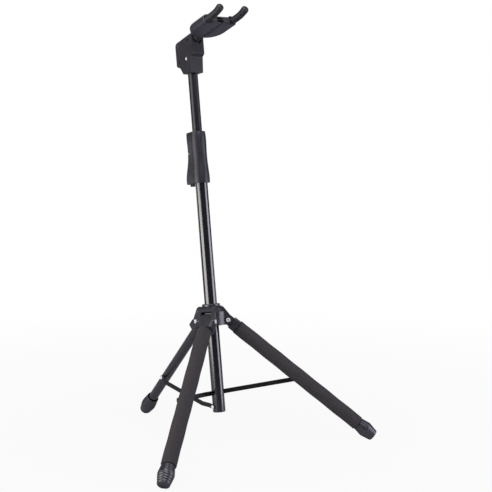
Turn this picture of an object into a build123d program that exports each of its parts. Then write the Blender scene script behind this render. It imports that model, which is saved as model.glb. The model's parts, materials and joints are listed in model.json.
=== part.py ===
"""Free-standing tripod stand that holds a stringed instrument by its neck.

Everything is drawn in the mast frame: Z runs up the mast axis, X points forward between the two padded
legs, and Z = 0 is the plane of the leg pins. The finished pieces are then leaned back and set on the floor.
All sizes are millimetres and degrees.
"""
from build123d import *
import os
from math import atan2, cos, degrees, hypot, radians, sin, tan

# Stance of the tripod
MAST_LEAN = 7.4              # mast leans back towards the bare rear leg
HUB_HEIGHT = 269.5           # leg pin plane above the floor, at the mast axis
FRONT_AZIMUTH = 55.7         # each padded leg, measured from straight ahead
FRONT_SPREAD = 46.7          # padded leg against the mast
REAR_SPREAD = 51.6           # bare leg against the mast
FOLD_TRAVEL = 240.0          # hub slides this far up the mast when the legs are folded
FOOT_FLAT = 0.6              # depth of the worn flat on which each foot stands
FLOOR_SIZE = (2000.0, 2000.0, 100.0)

# Clearances
SHAFT_GAP = 0.05             # radial, a shaft or pin that turns or slides in its hole
MOVE_GAP = 0.4               # between pieces that pass each other
SEAT_GAP = 0.3               # open end of a brace, short of its leg boss

# Tubes
MAST_R = 14.0
MAST_WALL = 1.5
MAST_BOTTOM = -202.0
MAST_TOP = 402.0
INNER_R = 11.0
INNER_WALL = 1.5
INNER_LENGTH = 420.0
INNER_GUIDE_LENGTH = 26.0
INNER_GUIDE_RIM = 4.0
PLUG_HEAD = 2.5              # end plug below the mast tube
PLUG_DEPTH = 4.0
PLUG_EDGE_R = 1.5
LEG_R = 11.0
LEG_WALL = 1.3

# Hub that slides on the mast
PIN_RADIUS = 35.5            # leg pin from the mast axis
PIN_R = 3.0
PIN_HEAD_R = 4.6
PIN_HEAD_HEIGHT = 1.2
PIN_BORE_R = 1.5             # tubular rivet
FORK_GAP = 25.0
FORK_WIDTH = 41.0
EAR_R = 10.0                 # round end of the ear about the pin
EAR_CORNER_R = 9.5
EAR_TOP = 3.2                # ear starts to slope back here, above the pin
EAR_TOP_R = 8.0
HUB_TOP = 33.0
SHOULDER_X = 27.5            # upper end of the slope
SHOULDER_Z = 29.3
SHOULDER_R = 6.0
HUB_CORE_R = 34.0            # drum between the forks
FORK_ROOT = 23.5             # inner wall of the fork slot, from the mast axis
FORK_ROOF = 22.0             # roof of the fork slot, above the pin
FORK_ROOT_R = 4.0
BUSH_WALL = 2.8
COLLAR_R = 20.0
COLLAR_HEIGHT = 5.0
COLLAR_EDGE_R = 1.2

# Legs
KNUCKLE_LENGTH = 26.0        # pin to the seat of tube and foam
KNUCKLE_DEPTH = 28.0
KNUCKLE_TOP = 11.0           # shoulders below the ears, from the pin
KNUCKLE_EDGE_R = 5.0
TONGUE_WIDTH = 24.0
TONGUE_R = 11.0
HEEL_LENGTH = 13.0           # outer side of the tongue above the pin
HEEL_WIDTH = 9.0
HEEL_R = 3.0
SPIGOT_LENGTH = 32.0
FOAM_R = 16.0
FOAM_EDGE_R = 1.5
FOAM_CUT = 45.0              # foam ends this far above the foot's sole
FOOT_TOP_R = 14.2
FOOT_BELLY_R = 17.8
FOOT_END_R = 12.8
FOOT_EDGE_R = 3.0
FOOT_BELLY_EDGE_R = 14.0
FOOT_RIM_R = 1.0
FOOT_LENGTH = 44.0
FOOT_BELLY = 24.0            # widest ring of the foot above its sole
FOOT_WEB = 10.0              # rubber below the end of the tube
REAR_FOOT_LENGTH = 54.0
RIB_COUNT = 4
RIB_PITCH = 5.2
RIB_DEPTH = 0.7
RIB_WIDTH = 1.6

# Braces between mast and legs
BRACE_WIDTH = 10.0
BRACE_THICK = 2.5
BRACE_PIN_R = 2.5
BRACE_HEAD_R = 4.5
BRACE_HEAD_HEIGHT = 1.8
BRACE_HEAD_EDGE_R = 1.1
FRONT_BRACE_DROP = 163.0     # mast rivets of the front braces below the leg pins
REAR_BRACE_DROP = 192.0
REAR_BRACE_BOW = 8.2         # rear brace stands off between its ends, clear of the left one
REAR_BOSS = 1.4              # its leg boss above the bare tube
JOGGLE_START = 13.0          # bends near the ends, from the rivets
JOGGLE_RUN = 17.0
BOSS_R = 5.5
RIVET_REACH = 3.0            # rivet end inside the mast wall
RIVET_BULB_R = 3.5
RIVET_BULB_GAP = 0.8         # flat bulb against the curved bore

# Clutch and grip at the top of the mast tube
GRIP_BOTTOM = 309.0
GRIP_TOP = 424.0
CORE_R = 15.8
# share of the height, radius in front, reach to the rear
GRIP_STATIONS = ((0.0, 19.6, 48.0), (0.09, 20.0, 49.0), (0.5, 17.7, 36.5),
                 (0.93, 18.0, 36.5), (1.0, 17.0, 35.5))
GRIP_CHEEK_R = 12.5          # round of the rear edge
GRIP_PART_X = 1.5            # rear part is set in behind this line
GRIP_STEP = 0.8
GRIP_WALL = 1.2              # between clutch core and trigger pocket
TRIGGER_WIDTH = 16.4
TRIGGER_TOP = 384.0
TRIGGER_PIN_X = -23.0
TRIGGER_PIN_Z = 377.0
TRIGGER_PIN_R = 2.0
TRIGGER_ROOM = 7.5           # free space behind the trigger's lower end
TRIGGER_LIP = 5.5            # finger lip below the grip
TRIGGER_LIP_LENGTH = 12.5
TRIGGER_LIP_HALF = 4.5
TRIGGER_LIP_ROOT = 8.0       # lip runs this far up into the trigger
TRIGGER_LIP_R = 2.0
TRIGGER_SPRING_Z = 22.0      # above the grip's lower end
TRIGGER_SPRING_R = 3.2
TRIGGER_SPRING_WIRE = 0.5
TRIGGER_SPRING_TURNS = 3
COLLET_LENGTH = 18.0

# Head block
HEAD_BASE = 554.0
HEAD_WIDTH = 32.0
HEAD_COVER = 3.0
HEAD_WALL = 4.0
HEAD_OUTLINE = ((18.0, 0.0, 1.5), (21.0, 34.5, 2.0), (28.5, 41.0, 2.0), (28.5, 86.0, 4.0),
                (-37.0, 72.5, 9.0), (-37.0, 21.0, 6.0), (-24.0, 16.0, 4.0), (-13.0, 0.0, 5.0))
SOCKET_TOP = 50.0            # seat of the inner tube above the head's base
HEAD_BOLT_Z = 33.5
HEAD_BOLT_R = 2.5
HEAD_BOLT_HEAD_R = 3.6
HEAD_BOLT_BORE_R = 4.8
HEAD_BOLT_SINK = 1.4         # bolt head below the cover's face
HEX_R = 2.0
HEX_DEPTH = 1.6
NUT_R = 4.6
NUT_HEIGHT = 4.0
WINDOW_WIDTH = 3.0           # slots for the cover's snap hooks
WINDOW_LENGTH = 6.5
WINDOW_DEPTH = 6.0
WINDOWS = ((11.0, 73.0, 40.0), (-25.5, 29.3, 90.0))
LEVER_PIN_X = -27.8
LEVER_PIN_Z = 66.5
LEVER_PIN_R = 2.2
LEVER_EYE_R = 4.8
LEVER_HALF_WIDTH = 11.0
LEVER_FLOOR = 63.0           # underside of the lever above the head's base
LEVER_CROWN = 10.0           # top of the lever above the stem axis
LEVER_SPRING_X = -4.0
LEVER_SPRING_R = 6.0
LEVER_SPRING_WIRE = 0.9
LEVER_SPRING_TURNS = 4

# Neck yoke
YOKE_PITCH = 11.0            # yoke rises forward, against the mast's X
YOKE_TILT = 4.0              # yoke drops this far under a load
STEM_X = 29.0                # point on the stem axis, over the head's front face
STEM_Z = 78.5
STEM_R = 11.0
STEM_BACK = -16.0            # stem starts here, along its own axis
SPIGOT_R = 5.0
SHELL_BACK = 9.0
SHELL_FRONT = 88.0
SHELL_BOW = 6.0              # middle of the front edge ahead of its corners
SHELL_HALF_WIDTH = 43.0
SHELL_BACK_R = 38.0
SHELL_LOW = -9.5
SHELL_HIGH = 10.5
SHELL_EDGE_R = 7.5
SHELL_WALL = 2.4
COVER_SEAM = 5.0             # height of the joint between tub and cover
COVER_FRONT = 84.5           # cover's front edge between the arms
COVER_BAY = 27.0             # half width of that open bay
SLIT_WIDTH = 3.0
SLIT_LENGTH = 27.0
RECESS_BACK = 22.0           # moulded recess in the underside, behind the slit
RECESS_LENGTH = 42.0
RECESS_WIDTH = 13.0
RECESS_DEPTH = 1.2
RECESS_RIBS = 5
RECESS_RIB_WIDTH = 2.0
NECK_BOSS_R = 8.0
NECK_BOSS_LENGTH = 17.0
CLIP_THICK = 1.5
CLIP_R = 6.6
CLIP_BORE_R = 3.5

# Closing arms
ARM_Y = 33.0
ARM_PIVOT_S = 78.0
ARM_PIVOT_Y = 30.0
ARM_PIN_R = 2.5
ARM_PIN_SINK = 1.0           # pin ends inside the shell's skin
ARM_HUB_R = 6.0
ARM_HUB_HALF = 5.5
ARM_ROD_R = 4.0
ARM_SLEEVE_R = 7.0
ARM_TIP_R = 8.2              # closed end of the sleeve
ARM_MOUTH = 85.0             # sleeve begins here
ARM_BEND = 110.0             # and turns up from here
ARM_RISE = 19.5              # tip turns up by this angle
ARM_BEND_R = 85.0
ARM_CLOSE = 18.0
PAD_IN = 8.0                 # pad's inner and outer edge from the middle
PAD_OUT = 26.0
PAD_BACK = 82.0
PAD_FRONT = 92.5
PAD_LOW = -6.7
PAD_HIGH = 7.6
PAD_EDGE_R = 3.0
PADDLE_DEPTH = 4.0           # arm core inside the pad
PADDLE_COVER = 3.0
ARM_SPRING_R = 3.0
ARM_SPRING_WIRE = 0.6
ARM_SPRING_TURNS = 6
ARM_SPRING_S = 86.0

# Derived places
MAST_BORE_R = MAST_R - MAST_WALL
LEG_BORE_R = LEG_R - LEG_WALL
BUSH_BORE_R = MAST_R + SHAFT_GAP
BUSH_R = BUSH_BORE_R + BUSH_WALL
HEAD_LOW_Y = -HEAD_WIDTH / 2
COVER_Y = HEAD_LOW_Y + HEAD_COVER
CAVITY_Y = HEAD_WIDTH / 2 - HEAD_WALL
POCKET_X = -CORE_R - GRIP_WALL
ARM_SIDES = {"left": -1, "right": 1}


def brace_seat(spread, drop):
    """Distance along a leg of the brace rivet that lets leg and mast lie parallel when folded."""
    rise = PIN_RADIUS * sin(radians(spread)) + drop * (1 - cos(radians(spread)))
    return FOLD_TRAVEL * (2 * drop + FOLD_TRAVEL) / (2 * (rise + FOLD_TRAVEL))


def brace_pose(spread, drop):
    """Length of a brace, its angle above level at rest and its angle when folded."""
    seat = brace_seat(spread, drop)
    reach = PIN_RADIUS + seat * sin(radians(spread))
    rise = drop - seat * cos(radians(spread))
    folded = degrees(atan2(drop + FOLD_TRAVEL - seat, PIN_RADIUS))
    return hypot(reach, rise), degrees(atan2(rise, reach)), folded


def leg_length(azimuth, spread):
    """Pin to the middle of the sole, so that the round edge of the foot reaches the floor."""
    lean, turn, open_angle = radians(MAST_LEAN), radians(azimuth), radians(spread)
    pin_height = HUB_HEIGHT + PIN_RADIUS * cos(turn) * sin(lean)
    steep = cos(open_angle) * cos(lean) - sin(open_angle) * cos(turn) * sin(lean)
    aslant = (1 - steep ** 2) ** 0.5
    edge = FOOT_EDGE_R * (steep - 1) - (FOOT_END_R - FOOT_EDGE_R) * aslant
    return (pin_height + edge + FOOT_FLAT) / steep


# name: azimuth, spread, brace drop, side of the leg that carries the brace, padded with foam
LEGS = {
    "front_left": (-FRONT_AZIMUTH, FRONT_SPREAD, FRONT_BRACE_DROP, -1, True),
    "front_right": (FRONT_AZIMUTH, FRONT_SPREAD, FRONT_BRACE_DROP, 1, True),
    "rear": (180.0, REAR_SPREAD, REAR_BRACE_DROP, 1, False),
}
YOKE_FRAME = Pos(STEM_X, 0, HEAD_BASE + STEM_Z) * Rot(0, -YOKE_PITCH, 0)
parts = {}


def rounded_face(corners):
    """Flat outline through corners given as x, y and the radius of each corner."""
    face = Polygon(*[(x, y) for x, y, _ in corners], align=None)
    for x, y, radius in corners:
        if radius:
            face = fillet(face.vertices().sort_by_distance((x, y, 0))[0], radius)
    return face


def slab(face, low_y, high_y):
    """Plate cut from an outline drawn in X and Z, between two values of Y."""
    return Pos(0, (low_y + high_y) / 2, 0) * extrude(Plane.XZ * face, (high_y - low_y) / 2, both=True)


def upright(radius, low, high):
    """Round bar about the Z axis."""
    return Pos(0, 0, low) * Cylinder(radius, high - low, align=(Align.CENTER, Align.CENTER, Align.MIN))


def crossbar(radius, low_y, high_y):
    """Round bar about the Y axis."""
    return Pos(0, (low_y + high_y) / 2, 0) * Rot(90, 0, 0) * Cylinder(radius, high_y - low_y)


def forward_bar(radius, back, front):
    """Round bar about the X axis."""
    return Pos((back + front) / 2, 0, 0) * Rot(0, 90, 0) * Cylinder(radius, front - back)


def turned(corners):
    """Body turned about the Z axis from an outline of radius, height and corner radius."""
    return revolve(Plane.XZ * rounded_face(corners), Axis.Z)


def coil(radius, wire, turns, height):
    """Wound spring about Z, standing on its lower end."""
    path = Helix(pitch=(height - 2 * wire) / turns, height=height - 2 * wire, radius=radius)
    section = Plane(origin=path @ 0, z_dir=path % 0) * Circle(wire)
    return Pos(0, 0, wire) * sweep(section, path)


def leg_frame(azimuth, spread):
    """Frame at a leg pin: Z runs up the leg's own axis, Y across the fork."""
    return Rot(0, 0, azimuth) * Pos(PIN_RADIUS, 0, 0) * Rot(0, -spread, 0)


# Hub: a moulded spider with three forks, a flanged bush on the mast and the leg pins


def hub_body():
    ear_x = PIN_RADIUS + EAR_R
    crown = ((SHOULDER_X, SHOULDER_Z, SHOULDER_R), (COLLAR_R, HUB_TOP, 0), (0, HUB_TOP, 0))
    fork = ((0, -EAR_R, 0), (ear_x, -EAR_R, EAR_CORNER_R), (ear_x, EAR_TOP, EAR_TOP_R)) + crown
    slope = (SHOULDER_Z - EAR_TOP) / (ear_x - SHOULDER_X)
    drum_top = EAR_TOP + slope * (ear_x - HUB_CORE_R)
    slot = ((FORK_ROOT, -2 * EAR_R, 0), (PIN_RADIUS + 2 * EAR_R, -2 * EAR_R, 0),
            (PIN_RADIUS + 2 * EAR_R, FORK_ROOF, 0), (FORK_ROOT, FORK_ROOF, FORK_ROOT_R))
    body = turned(((0, -EAR_R, 0), (HUB_CORE_R, -EAR_R, 0), (HUB_CORE_R, drum_top, 0)) + crown)
    for azimuth, *_ in LEGS.values():
        body += Rot(0, 0, azimuth) * slab(rounded_face(fork), -FORK_WIDTH / 2, FORK_WIDTH / 2)
    for azimuth, *_ in LEGS.values():
        body -= Rot(0, 0, azimuth) * slab(rounded_face(slot), -FORK_GAP / 2, FORK_GAP / 2)
        body -= Rot(0, 0, azimuth) * Pos(PIN_RADIUS, 0, 0) * crossbar(PIN_R, -FORK_WIDTH, FORK_WIDTH)
    return body - upright(BUSH_R, -2 * EAR_R, 2 * HUB_TOP)


def leg_pin():
    """Tubular rivet across a fork, with a head on each ear."""
    half = FORK_WIDTH / 2
    pin = crossbar(PIN_R, -half, half)
    for side in (-1, 1):
        pin += crossbar(PIN_HEAD_R, *sorted((side * half, side * (half + PIN_HEAD_HEIGHT))))
    return pin - crossbar(PIN_BORE_R, -FORK_WIDTH, FORK_WIDTH)


bush = upright(BUSH_R, -EAR_R, HUB_TOP) + upright(COLLAR_R, HUB_TOP, HUB_TOP + COLLAR_HEIGHT)
collar_rim = bush.edges().filter_by(GeomType.CIRCLE).group_by(Axis.Z)[-1]
bush = fillet(collar_rim, COLLAR_EDGE_R)
parts["hub_body"] = hub_body()
parts["hub_bush"] = bush - upright(BUSH_BORE_R, -2 * EAR_R, 2 * HUB_TOP)
parts["leg_pins"] = [Rot(0, 0, azimuth) * Pos(PIN_RADIUS, 0, 0) * leg_pin() for azimuth, *_ in LEGS.values()]

# Legs: moulded knuckle, tube, foam sleeve, rubber foot and the boss that carries the brace


def knuckle():
    """Tongue between the ears with a heel on its outer side, shoulders as wide as the fork, spigot in the tube."""
    heel = ((TONGUE_R - HEEL_WIDTH, 0, 0), (TONGUE_R, 0, 0), (TONGUE_R, HEEL_LENGTH, HEEL_R),
            (TONGUE_R - HEEL_WIDTH, HEEL_LENGTH, HEEL_R))
    tongue = Pos(0, 0, -KNUCKLE_TOP / 2) * Box(2 * TONGUE_R, TONGUE_WIDTH, KNUCKLE_TOP)
    tongue += crossbar(TONGUE_R, -TONGUE_WIDTH / 2, TONGUE_WIDTH / 2)
    tongue += slab(rounded_face(heel), -TONGUE_WIDTH / 2, TONGUE_WIDTH / 2)
    section = RectangleRounded(KNUCKLE_DEPTH, FORK_WIDTH, KNUCKLE_EDGE_R)
    shoulders = Pos(0, 0, -KNUCKLE_LENGTH) * extrude(section, KNUCKLE_LENGTH - KNUCKLE_TOP)
    spigot = upright(LEG_BORE_R, -KNUCKLE_LENGTH - SPIGOT_LENGTH, -KNUCKLE_LENGTH)
    hole = crossbar(PIN_R + SHAFT_GAP, -TONGUE_WIDTH, TONGUE_WIDTH)
    return tongue + shoulders + spigot - hole


def foot(length, sole, ribbed):
    """Barrel-shaped rubber foot about the leg axis, blind-bored for the tube, with a grooved lower half."""
    top = sole + length
    body = turned(((0, sole, 0), (FOOT_END_R, sole, FOOT_EDGE_R),
                   (FOOT_BELLY_R, sole + FOOT_BELLY, FOOT_BELLY_EDGE_R),
                   (FOOT_TOP_R, top, FOOT_RIM_R), (0, top, 0)))
    body -= upright(LEG_R, sole + FOOT_WEB, top + length)
    if not ribbed:
        return body
    taper = (FOOT_BELLY_R - FOOT_END_R) / FOOT_BELLY
    for rib in range(RIB_COUNT):
        height = FOOT_EDGE_R + RIB_WIDTH + rib * RIB_PITCH
        outer = FOOT_END_R + taper * height
        groove = upright(2 * FOOT_BELLY_R, 0, RIB_WIDTH) - upright(outer - RIB_DEPTH, 0, RIB_WIDTH)
        body -= Pos(0, 0, sole + height) * groove
    return body


def brace_offsets(padded):
    """Inner face of a brace from its leg's middle plane: at the mast, between its bends and at the leg."""
    at_mast = MAST_R + MOVE_GAP
    if padded:
        return at_mast, FOAM_R + MOVE_GAP, FOAM_R + MOVE_GAP
    return at_mast, at_mast + REAR_BRACE_BOW, LEG_R + REAR_BOSS


def make_leg(name, azimuth, spread, drop, side, padded):
    frame = leg_frame(azimuth, spread)
    sole = -leg_length(azimuth, spread)
    foot_length = FOOT_LENGTH if padded else REAR_FOOT_LENGTH
    tube = upright(LEG_R, sole + FOOT_WEB, -KNUCKLE_LENGTH)
    tube -= upright(LEG_BORE_R, sole, 0)
    seat = brace_seat(spread, drop)
    boss_y = sorted((0, side * (brace_offsets(padded)[2] - SEAT_GAP)))
    boss = Pos(0, 0, -seat) * crossbar(BOSS_R, *boss_y) - upright(LEG_R, sole, 0)
    pieces = {"knuckle": knuckle(), "leg_tube": tube, "foot": foot(foot_length, sole, padded),
              "brace_boss": boss}
    if padded:
        foam = upright(FOAM_R, sole + FOAM_CUT, -KNUCKLE_LENGTH) - upright(LEG_R, sole, 0)
        rims = foam.edges().filter_by(GeomType.CIRCLE).filter_by(lambda edge: edge.radius > LEG_R)
        foam = fillet(rims, FOAM_EDGE_R)
        pieces["foam"] = foam - Pos(0, 0, -seat) * crossbar(BOSS_R, *sorted((0, side * 2 * FOAM_R)))
    for piece, solid in pieces.items():
        parts[f"{piece}_{name}"] = frame * solid


for leg_name, leg in LEGS.items():
    make_leg(leg_name, *leg)

# Braces: joggled steel straps, riveted to the mast and, by a rivet of their own, to the leg boss


def brace_frame(azimuth, spread, drop):
    """Frame at a brace's mast rivet: X runs along the brace, Y across the leg's plane."""
    return Rot(0, 0, azimuth) * Pos(0, 0, -drop) * Rot(0, -brace_pose(spread, drop)[1], 0)


def strap(length, side, at_mast, at_span, at_leg):
    """Flat bar with a joggle near each end that stands off, round ends and two rivet holes."""
    half = BRACE_WIDTH / 2
    bend_end = JOGGLE_START + JOGGLE_RUN
    inner = [(-half, at_mast), (JOGGLE_START, at_mast), (bend_end, at_span)]
    if at_leg != at_span:
        inner += [(length - bend_end, at_span), (length - JOGGLE_START, at_leg)]
    inner.append((length + half, at_leg))
    outer = [(x, y + BRACE_THICK) for x, y in reversed(inner)]
    edge = Polygon(*[(x, side * y) for x, y in inner + outer], align=None)
    bar = extrude(edge, half, both=True)
    ends = Pos(length / 2, 0) * SlotCenterToCenter(length, BRACE_WIDTH)
    bar &= slab(ends, -2 * FOAM_R, 2 * FOAM_R)
    bar -= crossbar(BRACE_PIN_R + SHAFT_GAP, -2 * FOAM_R, 2 * FOAM_R)
    return bar - Pos(length, 0, 0) * crossbar(BRACE_PIN_R, -2 * FOAM_R, 2 * FOAM_R)


def rivet(side, inside, seat):
    """Domed rivet: shank from inside to the strap's outer face, with the head on that face."""
    head = crossbar(BRACE_HEAD_R, *sorted((side * seat, side * (seat + BRACE_HEAD_HEIGHT))))
    rim = head.edges().filter_by(GeomType.CIRCLE).sort_by(Axis.Y)[-1 if side > 0 else 0]
    return fillet(rim, BRACE_HEAD_EDGE_R) + crossbar(BRACE_PIN_R, *sorted((side * inside, side * seat)))


mast_rivets = []
for leg_name, (azimuth, spread, drop, side, padded) in LEGS.items():
    at_mast, at_span, at_leg = brace_offsets(padded)
    length = brace_pose(spread, drop)[0]
    frame = brace_frame(azimuth, spread, drop)
    parts[f"brace_{leg_name}"] = frame * strap(length, side, at_mast, at_span, at_leg)
    leg_rivet = rivet(side, at_leg, at_leg + BRACE_THICK)
    parts[f"brace_rivet_{leg_name}"] = frame * Pos(length, 0, 0) * leg_rivet
    bulb_end = MAST_BORE_R - RIVET_REACH
    mast_rivet = rivet(side, bulb_end, at_mast + BRACE_THICK + MOVE_GAP)
    mast_rivet += crossbar(RIVET_BULB_R, *sorted((side * bulb_end, side * (MAST_BORE_R - RIVET_BULB_GAP))))
    mast_rivets.append(Rot(0, 0, azimuth) * Pos(0, 0, -drop) * mast_rivet)
parts["mast_rivets"] = mast_rivets

# Mast: outer tube with an end plug, and the clutch with its grip and trigger at the top

mast_tube = upright(MAST_R, MAST_BOTTOM, MAST_TOP) - upright(MAST_BORE_R, MAST_BOTTOM, MAST_TOP)
for azimuth, spread, drop, side, padded in LEGS.values():
    hole = crossbar(BRACE_PIN_R, *sorted((0, side * 2 * MAST_R)))
    mast_tube -= Rot(0, 0, azimuth) * Pos(0, 0, -drop) * hole
parts["mast_tube"] = mast_tube
plug = turned(((0, -PLUG_HEAD, 0), (MAST_R, -PLUG_HEAD, PLUG_EDGE_R), (MAST_R, 0, 0),
               (MAST_BORE_R, 0, 0), (MAST_BORE_R, PLUG_DEPTH, 0), (0, PLUG_DEPTH, 0)))
parts["mast_plug"] = Pos(0, 0, MAST_BOTTOM) * plug


def grip_form(inset):
    """Pear-shaped handle: round in front of the tube, drawn out to the rear, waisted at mid-height."""
    sections = []
    for share, front_r, rear in GRIP_STATIONS:
        height = GRIP_BOTTOM + share * (GRIP_TOP - GRIP_BOTTOM)
        outline = Circle(front_r - inset) + Pos(GRIP_CHEEK_R - rear, 0) * Circle(GRIP_CHEEK_R - inset)
        sections.append(Pos(0, 0, height) * make_hull(outline.edges()))
    return loft(sections)


def trigger_block(half_width, top_x, low_x, top):
    """Everything behind a slanted wall that runs from top_x at the top to low_x below the grip."""
    low = GRIP_BOTTOM - 2 * TRIGGER_LIP
    rear = 2 * POCKET_X - GRIP_STATIONS[1][2]
    side_view = Polygon((top_x, top), (low_x, low), (rear, low), (rear, top), align=None)
    return slab(side_view, -half_width, half_width)


front_half = Pos(GRIP_PART_X, 0, GRIP_BOTTOM) * Box(2 * CORE_R, 4 * CORE_R, 2 * GRIP_TOP,
                                                    align=(Align.MIN, Align.CENTER, Align.CENTER))
form = grip_form(GRIP_STEP) + (grip_form(0) & front_half)
pocket = trigger_block(TRIGGER_WIDTH / 2 + MOVE_GAP, POCKET_X, POCKET_X, TRIGGER_TOP + 2 * MOVE_GAP)
core = upright(CORE_R, GRIP_BOTTOM, GRIP_TOP) - upright(MAST_R, 0, MAST_TOP)
core -= upright(INNER_R + MOVE_GAP, MAST_TOP, 2 * GRIP_TOP)
trigger_axis = Pos(TRIGGER_PIN_X, 0, TRIGGER_PIN_Z)
pin_cut = trigger_axis * crossbar(TRIGGER_PIN_R, -MAST_R, MAST_R)
parts["clutch_core"] = core
parts["grip"] = form - upright(CORE_R, 0, 2 * GRIP_TOP) - pocket - pin_cut
parts["trigger_pin"] = pin_cut & form
wall_x = POCKET_X - TRIGGER_ROOM
lip_low, lip_high = GRIP_BOTTOM - TRIGGER_LIP, GRIP_BOTTOM + TRIGGER_LIP_ROOT
lip_x = wall_x - TRIGGER_LIP_LENGTH
lip = rounded_face(((lip_x, lip_high, 0), (lip_x, lip_low, TRIGGER_LIP_R),
                    (wall_x, lip_low, TRIGGER_LIP_R), (wall_x, lip_high, 0)))
trigger = form & trigger_block(TRIGGER_WIDTH / 2, POCKET_X - MOVE_GAP, wall_x, TRIGGER_TOP)
trigger -= trigger_axis * crossbar(TRIGGER_PIN_R + SHAFT_GAP, -MAST_R, MAST_R)
parts["trigger"] = trigger + slab(lip, -TRIGGER_LIP_HALF, TRIGGER_LIP_HALF)
spring_z = GRIP_BOTTOM + TRIGGER_SPRING_Z
wall_height = TRIGGER_TOP - GRIP_BOTTOM + 2 * TRIGGER_LIP
spring_room = TRIGGER_ROOM * (TRIGGER_TOP - spring_z) / wall_height
trigger_spring = coil(TRIGGER_SPRING_R, TRIGGER_SPRING_WIRE, TRIGGER_SPRING_TURNS, spring_room - MOVE_GAP)
parts["trigger_spring"] = Pos(POCKET_X, 0, spring_z) * Rot(0, -90, 0) * trigger_spring
collet = upright(MAST_BORE_R, MAST_TOP - COLLET_LENGTH, MAST_TOP)
parts["clutch_collet"] = collet - upright(INNER_R + SHAFT_GAP, 0, 2 * MAST_TOP)

# Inner tube with its guide, and the head block that it carries

tube_top = HEAD_BASE + SOCKET_TOP
tube_low = tube_top - INNER_LENGTH
inner_tube = upright(INNER_R, tube_low, tube_top) - upright(INNER_R - INNER_WALL, tube_low, tube_top)
bolt_axis = Pos(0, 0, HEAD_BASE + HEAD_BOLT_Z)
parts["inner_tube"] = inner_tube - bolt_axis * crossbar(HEAD_BOLT_R, -MAST_R, MAST_R)
guide = upright(MAST_BORE_R - SHAFT_GAP, tube_low - INNER_GUIDE_RIM, tube_low)
guide += upright(INNER_R - INNER_WALL, tube_low, tube_low + INNER_GUIDE_LENGTH)
parts["inner_guide"] = guide

head_face = Pos(0, HEAD_BASE) * rounded_face(HEAD_OUTLINE)
head_front, head_rear = HEAD_OUTLINE[3][0], HEAD_OUTLINE[4][0]
room_front, room_rear = head_front - HEAD_WALL, head_rear + HEAD_WALL
cavity = Polygon((room_rear, SOCKET_TOP), (room_front, SOCKET_TOP), (room_front, 2 * SOCKET_TOP),
                 (room_rear, 2 * SOCKET_TOP), align=None)
cavity = slab(Pos(0, HEAD_BASE) * cavity, -HEAD_WIDTH, CAVITY_Y)
stem_drop = (STEM_X - LEVER_PIN_X) * sin(radians(YOKE_TILT))
notch_r = STEM_R + 2 * MOVE_GAP
notch = forward_bar(notch_r, -2 * HEAD_WALL, HEAD_WALL)
notch += Pos(-HEAD_WALL / 2, 0, STEM_R) * Box(3 * HEAD_WALL, 2 * notch_r, 2 * STEM_R)
notch = Pos(head_front, 0, HEAD_BASE + STEM_Z - stem_drop) * notch
lever_axis = Pos(LEVER_PIN_X, 0, HEAD_BASE + LEVER_PIN_Z)
bolt_hole = bolt_axis * crossbar(HEAD_BOLT_R, -HEAD_WIDTH, HEAD_WIDTH)
lever_hole = lever_axis * crossbar(LEVER_PIN_R, -HEAD_WIDTH, HEAD_WIDTH)
tube_socket = upright(INNER_R, 0, tube_top)
nut_seat = HEAD_WIDTH / 2 - NUT_HEIGHT
nut_block = bolt_axis * slab(RegularPolygon(NUT_R, 6), nut_seat, HEAD_WIDTH / 2)
housing = slab(head_face, COVER_Y, HEAD_WIDTH / 2) - cavity - notch - tube_socket
cover = slab(head_face, HEAD_LOW_Y, COVER_Y) - bolt_hole - lever_hole - notch
counterbore = bolt_axis * crossbar(HEAD_BOLT_BORE_R, HEAD_LOW_Y - HEAD_COVER, COVER_Y)
for x, z, angle in WINDOWS:
    window = Rot(0, 0, angle) * SlotOverall(WINDOW_LENGTH, WINDOW_WIDTH)
    window = slab(Pos(x, HEAD_BASE + z) * window, HEAD_LOW_Y - HEAD_COVER, HEAD_LOW_Y + WINDOW_DEPTH)
    cover -= window
    housing -= window
parts["head_cover"] = cover - counterbore
parts["head_housing"] = housing - bolt_hole - lever_hole - nut_block

bolt = crossbar(HEAD_BOLT_R, COVER_Y, HEAD_WIDTH / 2)
bolt_top = HEAD_LOW_Y + HEAD_BOLT_SINK
bolt += crossbar(HEAD_BOLT_HEAD_R, bolt_top, COVER_Y)
bolt -= slab(RegularPolygon(HEX_R, 6), HEAD_LOW_Y, bolt_top + HEX_DEPTH)
parts["head_bolt"] = bolt_axis * bolt
parts["head_nut"] = nut_block - bolt_hole
parts["lever_pin"] = lever_axis * crossbar(LEVER_PIN_R, HEAD_LOW_Y, HEAD_WIDTH / 2)
spring_height = LEVER_FLOOR - SOCKET_TOP - MOVE_GAP
lever_spring = coil(LEVER_SPRING_R, LEVER_SPRING_WIRE, LEVER_SPRING_TURNS, spring_height)
parts["lever_spring"] = Pos(LEVER_SPRING_X, 0, tube_top) * lever_spring

# Lever: rocks on its pin in the head and carries the yoke on a round stem


clip_back = SHELL_BACK + NECK_BOSS_LENGTH + MOVE_GAP
clip_front = clip_back + CLIP_THICK


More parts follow.
